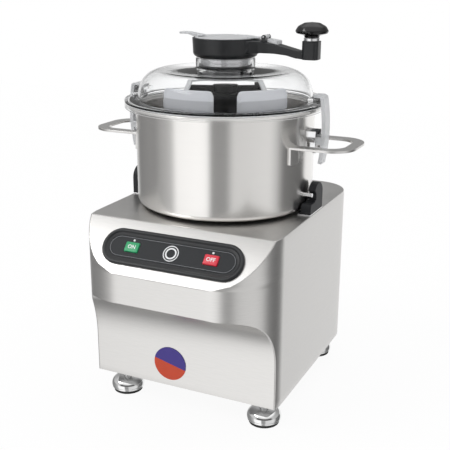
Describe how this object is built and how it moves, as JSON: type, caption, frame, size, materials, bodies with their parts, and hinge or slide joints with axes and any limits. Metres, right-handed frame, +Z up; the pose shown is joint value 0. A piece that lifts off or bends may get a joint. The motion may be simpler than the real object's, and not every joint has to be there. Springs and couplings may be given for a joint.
{
  "type": "vertical cutter mixer",
  "caption": "Bench-top vertical cutter mixer: stainless base with sloping panel, bayonet bowl with loop handles and side latches, clear domed lid, scraper crank with knob.",
  "frame": {"origin": "on the floor, straight below the bowl and motor axis", "axes": "+Z up along the bowl axis, -Y towards the control panel, +X to the operator's right, where the crank rests"},
  "size_m": [0.392, 0.377, 0.5329],
  "materials": {
    "brushed": "brushed satin",
    "polished": "polished",
    "zinc": "plain",
    "cast": "as cast",
    "black": "matt",
    "panel": "matt",
    "knob": "gloss",
    "milky": "satin, translucent",
    "clear": "clear",
    "silicone": "matt",
    "rubber": "matt",
    "grey_plastic": "matt",
    "green": "gloss",
    "red": "gloss",
    "white": "gloss",
    "badge": "gloss",
    "core": "laminated",
    "copper": "enamelled copper",
    "board": "matt",
    "ivory": "matt"
  },
  "bodies": {
    "base": {"base_housing": "brushed", "rear_cover": "brushed", "bottom_plate": "zinc", "cover_screws": "polished", "foot_domes": "polished", "foot_pads": "rubber", "foot_studs": "zinc", "control_bezel": "black", "control_overlay": "panel", "indicator_lamps": "white", "round_emblem": "white", "round_badge": "badge", "cable_gland": "black", "gland_nut": "black", "bowl_seat": "cast", "seat_screws": "polished", "bayonet_hooks": "grey_plastic", "hook_plates": "polished", "hook_screws": "zinc", "drive_flange": "cast", "motor_housing": "cast", "motor_end_bell": "cast", "motor_stator": "core", "stator_windings": "copper", "motor_bearings": "zinc", "shaft_seal": "rubber", "run_capacitor": "ivory", "capacitor_clip": "zinc", "control_board": "board", "contactor": "ivory", "switch_blocks": "black"},
    "rotor": {"drive_shaft": "polished", "motor_rotor": "core", "cooling_fan": "black", "blade_hub": "black", "lower_blade": "polished", "blade_spacer": "black", "upper_blade": "polished", "blade_nut": "black"},
    "bowl": {"bowl_shell": "brushed", "handle_right": "brushed", "handle_left": "brushed", "latch_brackets": "polished", "latch_pins": "polished", "bowl_pins": "polished"},
    "right_latch": {"latch_right": "milky"},
    "left_latch": {"latch_left": "milky"},
    "lid": {"lid_shell": "clear", "lid_gasket": "silicone"},
    "crank": {"crank_handle": "black", "crank_sleeve": "polished", "sleeve_bush": "black", "scraper": "milky", "knob_stud": "polished", "cap_clip": "milky", "cap_hinge_pin": "polished"},
    "knob": {"crank_knob": "knob"},
    "cap": {"feed_cap": "milky"},
    "on_button": {"green_button": "green"},
    "off_button": {"red_button": "red"}
  },
  "joints": [
    {"name": "motor_spin", "type": "hinge", "parent": "base", "child": "rotor", "pos_m": [0, 0, 0.29], "axis": [0, 0, 1], "continuous": true},
    {"name": "bowl_twist", "type": "hinge", "parent": "base", "child": "bowl", "pos_m": [0, 0, 0.29], "axis": [0, 0, 1], "range_deg": [-25, 0]},
    {"name": "lid_lift", "type": "slide", "parent": "bowl", "child": "lid", "axis": [0, 0, 1], "range_m": [0, 0.18]},
    {"name": "right_latch_swing", "type": "hinge", "parent": "bowl", "child": "right_latch", "pos_m": [0.134, 0, 0.379], "axis": [0, 1, 0], "range_deg": [0, 22]},
    {"name": "left_latch_swing", "type": "hinge", "parent": "bowl", "child": "left_latch", "pos_m": [-0.134, 0, 0.379], "axis": [0, -1, 0], "range_deg": [0, 22]},
    {"name": "crank_turn", "type": "hinge", "parent": "lid", "child": "crank", "pos_m": [0, 0, 0.47], "axis": [0, 0, 1], "continuous": true},
    {"name": "knob_spin", "type": "hinge", "parent": "crank", "child": "knob", "pos_m": [0.124, 0, 0.52], "axis": [0, 0, 1], "continuous": true},
    {"name": "cap_swing", "type": "hinge", "parent": "crank", "child": "cap", "pos_m": [0.0597, 0, 0.5121], "axis": [0, 1, 0], "range_deg": [0, 100]},
    {"name": "on_press", "type": "slide", "parent": "base", "child": "on_button", "axis": [0, 0.7348, -0.6783], "range_m": [0, 0.0015], "stiffness_N_per_m": 300, "springref_m": -0.001},
    {"name": "off_press", "type": "slide", "parent": "base", "child": "off_button", "axis": [0, 0.7348, -0.6783], "range_m": [0, 0.0015], "stiffness_N_per_m": 300, "springref_m": -0.001}
  ]
}
